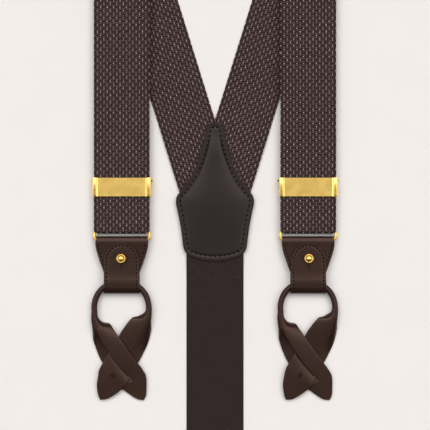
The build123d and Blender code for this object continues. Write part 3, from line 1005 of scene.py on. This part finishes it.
def rgb(r, g, b):
    """A colour given as 0 to 255 in sRGB, as linear values."""
    return tuple(((v / 255 + 0.055) / 1.055) ** 2.4 if v > 10 else v / 255 / 12.92 for v in (r, g, b)) + (1,)


class Shader:
    """A material's node tree with short ways to add nodes."""

    def __init__(self, name, roughness, **fixed):
        self.material = bpy.data.materials.new(name)
        self.material.use_nodes = True
        self.tree = self.material.node_tree
        self.surface = self.tree.nodes["Principled BSDF"]
        self.surface.inputs["Roughness"].default_value = roughness
        for key, value in fixed.items():
            self.surface.inputs[key.replace("_", " ")].default_value = value

    def put(self, kind, settings=None, **inputs):
        node = self.tree.nodes.new(kind)
        for key, value in (settings or {}).items():
            setattr(node, key, value)
        for key, value in inputs.items():
            self.feed(node.inputs[key.replace("_", " ")], value)
        return node

    def feed(self, socket, value):
        if isinstance(value, bpy.types.NodeSocket):
            self.tree.links.new(value, socket)
        else:
            socket.default_value = value

    def math(self, operation, first, second=0.0):
        node = self.put("ShaderNodeMath", {"operation": operation})
        self.feed(node.inputs[0], first)
        self.feed(node.inputs[1], second)
        return node.outputs[0]

    def ramp(self, value, start, end, low=0.0, high=1.0):
        node = self.put("ShaderNodeMapRange", {"interpolation_type": "SMOOTHSTEP"}, Value=value)
        for socket, number in zip(("From Min", "From Max", "To Min", "To Max"), (start, end, low, high)):
            node.inputs[socket].default_value = number
        return node.outputs["Result"]

    def mix(self, share, first, second):
        node = self.put("ShaderNodeMix", {"data_type": "RGBA"})
        self.feed(node.inputs["Factor"], share)
        self.feed(node.inputs[6], first)
        self.feed(node.inputs[7], second)
        return node.outputs[2]

    def noise(self, size, detail=2.0, where=None):
        """Noise whose features are about a size in metres."""
        where = where or self.put("ShaderNodeTexCoord").outputs["Object"]
        node = self.put("ShaderNodeTexNoise", Vector=where, Scale=1 / size, Detail=detail)
        return node.outputs["Fac"]

    def bump(self, height, distance):
        node = self.put("ShaderNodeBump", Height=height, Distance=distance)
        self.feed(self.surface.inputs["Normal"], node.outputs["Normal"])

    def colour(self, value):
        self.feed(self.surface.inputs["Base Color"], value)


def strap_fabric():
    """A dark weave with raised brown knots and staggered pale pin dots."""
    look = Shader("strap_fabric", 0.8, Specular_IOR_Level=0.12)
    uv = look.put("ShaderNodeUVMap", {"uv_map": "UVMap"}).outputs["UV"]
    split = look.put("ShaderNodeSeparateXYZ", Vector=uv)
    across, along = split.outputs[0], split.outputs[1]
    column = look.math("DIVIDE", across, DOT_COLUMN_PITCH * MM)
    index = look.math("FLOOR", column)
    shift = look.math("FRACT", look.math("MULTIPLY", index, 0.5))
    row = look.math("ADD", look.math("DIVIDE", along, DOT_ROW_PITCH * MM), shift)
    x = look.math("SUBTRACT", look.math("FRACT", column), 0.5)
    x = look.math("MULTIPLY", x, DOT_COLUMN_PITCH)
    wobble = look.math("MULTIPLY", look.math("SUBTRACT", look.noise(3 * MM), 0.5), 0.5)
    x = look.math("ADD", x, wobble)

    def spot(offset, widen, slant, inner, outer):
        wide = look.math("MULTIPLY", x, widen)
        y = look.math("SUBTRACT", look.math("FRACT", look.math("ADD", row, offset)), 0.5)
        y = look.math("ADD", look.math("MULTIPLY", y, DOT_ROW_PITCH), look.math("MULTIPLY", x, slant))
        distance = look.math("SQRT", look.math("ADD", look.math("MULTIPLY", wide, wide),
                                               look.math("MULTIPLY", y, y)))
        return look.ramp(distance, outer, inner)

    dots = spot(0.0, 1.0, 0.0, 0.2, 0.34)
    knots = look.math("MAXIMUM", spot(0.25, 0.72, 0.3, 0.2, 0.98), spot(0.75, 0.72, 0.3, 0.2, 0.98))
    uneven = look.ramp(look.noise(1.3 * MM, 3.0), 0.35, 0.7, 0.35, 1.0)
    edge = look.ramp(look.math("ABSOLUTE", across), STRAP_HALF * MM * 0.9, STRAP_HALF * MM)
    ground = look.mix(look.math("MULTIPLY", knots, uneven), rgb(44, 32, 32), rgb(108, 86, 82))
    ground = look.mix(look.math("MULTIPLY", edge, 0.5), ground, rgb(30, 21, 23))
    bright = look.ramp(look.noise(2.2 * MM), 0.35, 0.6, 0.45, 1.0)
    look.colour(look.mix(look.math("MULTIPLY", dots, bright), ground, rgb(228, 222, 217)))
    threads = look.math("SINE", look.math("MULTIPLY", along, 2 * pi / (0.56 * MM)))
    height = look.math("ADD", look.math("MULTIPLY", knots, 0.8), look.math("MULTIPLY", threads, 0.12))
    look.bump(look.math("ADD", height, look.math("MULTIPLY", dots, 0.3)), 0.25 * MM)
    return look.material


def elastic_fabric():
    """Fine diagonal twill with scattered pale specks."""
    look = Shader("elastic_fabric", 0.85, Specular_IOR_Level=0.1)
    uv = look.put("ShaderNodeUVMap", {"uv_map": "UVMap"}).outputs["UV"]
    split = look.put("ShaderNodeSeparateXYZ", Vector=uv)
    across, along = split.outputs[0], split.outputs[1]
    diagonal = look.math("DIVIDE", look.math("SUBTRACT", across, along), 1.05 * MM)
    twill = look.math("SINE", look.math("MULTIPLY", diagonal, 2 * pi))
    rib = look.math("SINE", look.math("MULTIPLY", along, 2 * pi / (0.7 * MM)))
    weave = look.math("ADD", look.math("MULTIPLY", twill, 0.6), look.math("MULTIPLY", rib, 0.4))
    specks = look.ramp(look.noise(0.45 * MM, 1.0), 0.62, 0.72)
    lines = look.ramp(weave, -0.7, 0.9)
    ground = look.mix(lines, rgb(24, 18, 18), rgb(66, 53, 52))
    look.colour(look.mix(look.math("MULTIPLY", specks, 0.45), ground, rgb(128, 116, 112)))
    look.bump(weave, 0.12 * MM)
    return look.material


def leather(name, colour, sheen, roughness, size):
    """Grain in the bump, a slow change of tone, and paler edges, partly wear and partly a painted highlight."""
    look = Shader(name, roughness, Specular_IOR_Level=0.42, Specular_Tint=sheen)
    where = look.put("ShaderNodeTexCoord").outputs["Object"]
    cells = look.put("ShaderNodeTexVoronoi", {"feature": "SMOOTH_F1"}, Vector=where, Scale=1 / size)
    fine = look.noise(size * 0.45, 4.0, where)
    slow = look.noise(14 * MM, 2.0, where)
    tone = look.mix(look.ramp(slow, 0.3, 0.7), shade(colour, 0.86), shade(colour, 1.14))
    speck = look.mix(look.ramp(fine, 0.35, 0.7, 0.0, 0.5), tone, shade(colour, 0.72))
    pointed = look.put("ShaderNodeNewGeometry").outputs["Pointiness"]
    # Paler on sharp convex edges, slits and hole rims: partly edge wear, partly a painted highlight along the
    # edges.
    wear_and_edge_highlight = look.ramp(pointed, 0.54, 0.64, 0.0, 0.3)
    look.colour(look.mix(wear_and_edge_highlight, speck, shade(colour, 1.6)))
    look.feed(look.surface.inputs["Roughness"], look.ramp(fine, 0.3, 0.7, roughness - 0.06, roughness + 0.1))
    height = look.math("ADD", look.math("MULTIPLY", cells.outputs["Distance"], 0.6), fine)
    look.bump(height, 0.035 * MM)
    return look.material


def shade(colour, factor):
    return tuple(min(1, v * factor) for v in colour[:3]) + (1,)


def gold_metal():
    """Polished gold-plated brass with faint brushing."""
    look = Shader("gold_metal", 0.2, Metallic=1.0)
    soft = look.noise(6 * MM, 3.0)
    look.colour(look.mix(soft, rgb(238, 198, 108), rgb(243, 206, 118)))
    look.feed(look.surface.inputs["Roughness"], look.ramp(soft, 0.3, 0.7, 0.2, 0.28))
    look.bump(look.noise(0.3 * MM, 3.0), 0.0003 * MM)
    return look.material


def thread():
    look = Shader("thread", 0.8, Specular_IOR_Level=0.1)
    twist = look.noise(0.3 * MM, 2.0)
    look.colour(look.mix(twist, rgb(12, 8, 8), rgb(24, 17, 16)))
    look.bump(twist, 0.05 * MM)
    return look.material


def core_cord():
    look = Shader("core_cord", 0.9)
    fibres = look.noise(0.5 * MM, 3.0)
    look.colour(look.mix(fibres, rgb(120, 104, 84), rgb(160, 144, 120)))
    look.bump(fibres, 0.1 * MM)
    return look.material


def make_looks():
    LOOKS["strap_fabric"] = strap_fabric()
    LOOKS["elastic_fabric"] = elastic_fabric()
    LOOKS["patch_leather"] = leather("patch_leather", rgb(26, 20, 20), rgb(232, 211, 207), 0.36, 0.7 * MM)
    LOOKS["tab_leather"] = leather("tab_leather", rgb(40, 23, 17), rgb(255, 214, 199), 0.3, 0.6 * MM)
    LOOKS["lining_leather"] = leather("lining_leather", rgb(52, 38, 36), rgb(255, 214, 199), 0.7, 0.8 * MM)
    LOOKS["gold_metal"] = gold_metal()
    LOOKS["thread"] = thread()
    LOOKS["core_cord"] = core_cord()


def dress(obj, slot):
    """Give a new piece its material."""
    obj.data.materials.clear()
    obj.data.materials.append(LOOKS[slot])


def dress_frame():
    """Every node that still shows gets the material of its own slot."""
    for part in frame["record"]["subparts"]:
        obj = frame["nodes"][part["node"]]
        if not obj.material_slots:
            obj.data.materials.append(None)
        for slot in obj.material_slots:
            slot.link = "OBJECT"
            slot.material = LOOKS[part["material_slot"]]


# --- room -------------------------------------------------------------------------------------


# Each has the height of a direction, from and to, and the strength of its light, from and to
SKY_RING = (0.52, 0.82, 0.03, 2.0)
SKY_ZENITH = (0.90, 0.975, 1.0, 0.33)
VIEW_Y = -16.3  # the point that the camera looks straight down at
VIEW_HEIGHT = 763.0


def softbox_sky():
    """Light from a wide ring of softboxes overhead, dimmer straight above and dark to the sides."""
    world = bpy.data.worlds.new("studio")
    world.use_nodes = True
    tree = world.node_tree
    sky = tree.nodes["Background"]
    where = tree.nodes.new("ShaderNodeTexCoord").outputs["Generated"]
    split = tree.nodes.new("ShaderNodeSeparateXYZ")
    tree.links.new(where, split.inputs[0])

    def band(start, end, first, last):
        node = tree.nodes.new("ShaderNodeMapRange")
        node.interpolation_type = "SMOOTHSTEP"
        tree.links.new(split.outputs["Z"], node.inputs["Value"])
        for socket, number in zip(("From Min", "From Max", "To Min", "To Max"),
                                  (start, end, first, last)):
            node.inputs[socket].default_value = number
        return node.outputs["Result"]

    def combine(operation, first, second):
        node = tree.nodes.new("ShaderNodeMath")
        node.operation = operation
        for socket, value in zip(node.inputs, (first, second)):
            if isinstance(value, float):
                socket.default_value = value
            else:
                tree.links.new(value, socket)
        return node.outputs[0]

    level = combine("MULTIPLY", band(*SKY_RING), band(*SKY_ZENITH))
    lean = combine("ADD", combine("MULTIPLY", split.outputs["Y"], 1.6), 1.0)
    lean = combine("MAXIMUM", lean, 0.05)
    tree.links.new(combine("MULTIPLY", level, lean), sky.inputs["Strength"])
    sky.inputs["Color"].default_value = (1.0, 0.99, 0.98, 1)
    return world


def room():
    scene = bpy.context.scene
    scene.view_settings.view_transform = "Standard"
    mesh = bpy.data.meshes.new("floor")
    mesh.from_pydata([(-3, -3, 0), (3, -3, 0), (3, 3, 0), (-3, 3, 0)], [], [(0, 1, 2, 3)])
    floor = bpy.data.objects.new("floor", mesh)
    scene.collection.objects.link(floor)
    paper = Shader("paper", 0.9)
    paper.colour(paper.mix(paper.noise(0.03), rgb(238, 233, 229), rgb(242, 238, 235)))
    mesh.materials.append(paper.material)
    scene.world = softbox_sky()
    area_light("right_strip", (0.9, 0.0, 0.45), 0.2, 0.9, 0.9)
    area_light("left_strip", (-0.9, 0.0, 0.45), 0.2, 0.9, 0.9)
    camera_data = bpy.data.cameras.new("camera")
    camera_data.lens = 100
    camera_data.sensor_width = 36
    camera_data.clip_start = 0.01
    camera = bpy.data.objects.new("camera", camera_data)
    camera.location = (0, VIEW_Y * MM, VIEW_HEIGHT * MM)
    scene.collection.objects.link(camera)
    scene.camera = camera


def area_light(name, place, width, height, watts):
    data = bpy.data.lights.new(name, "AREA")
    data.shape = "RECTANGLE"
    data.size, data.size_y = width, height
    data.energy = watts
    light = bpy.data.objects.new(name, data)
    light.location = place
    toward = Vector((0, 0, 0)) - Vector(place)
    light.rotation_euler = toward.to_track_quat("-Z", "Y").to_euler()
    bpy.context.scene.collection.objects.link(light)


# --- everything -------------------------------------------------------------------------------

make_looks()
room()
strap_pieces()
elastic_piece()
patch_pieces()
end_pieces()
for side in ("left", "right"):
    cover_pieces(side)
dress_frame()
bpy.context.view_layer.update()
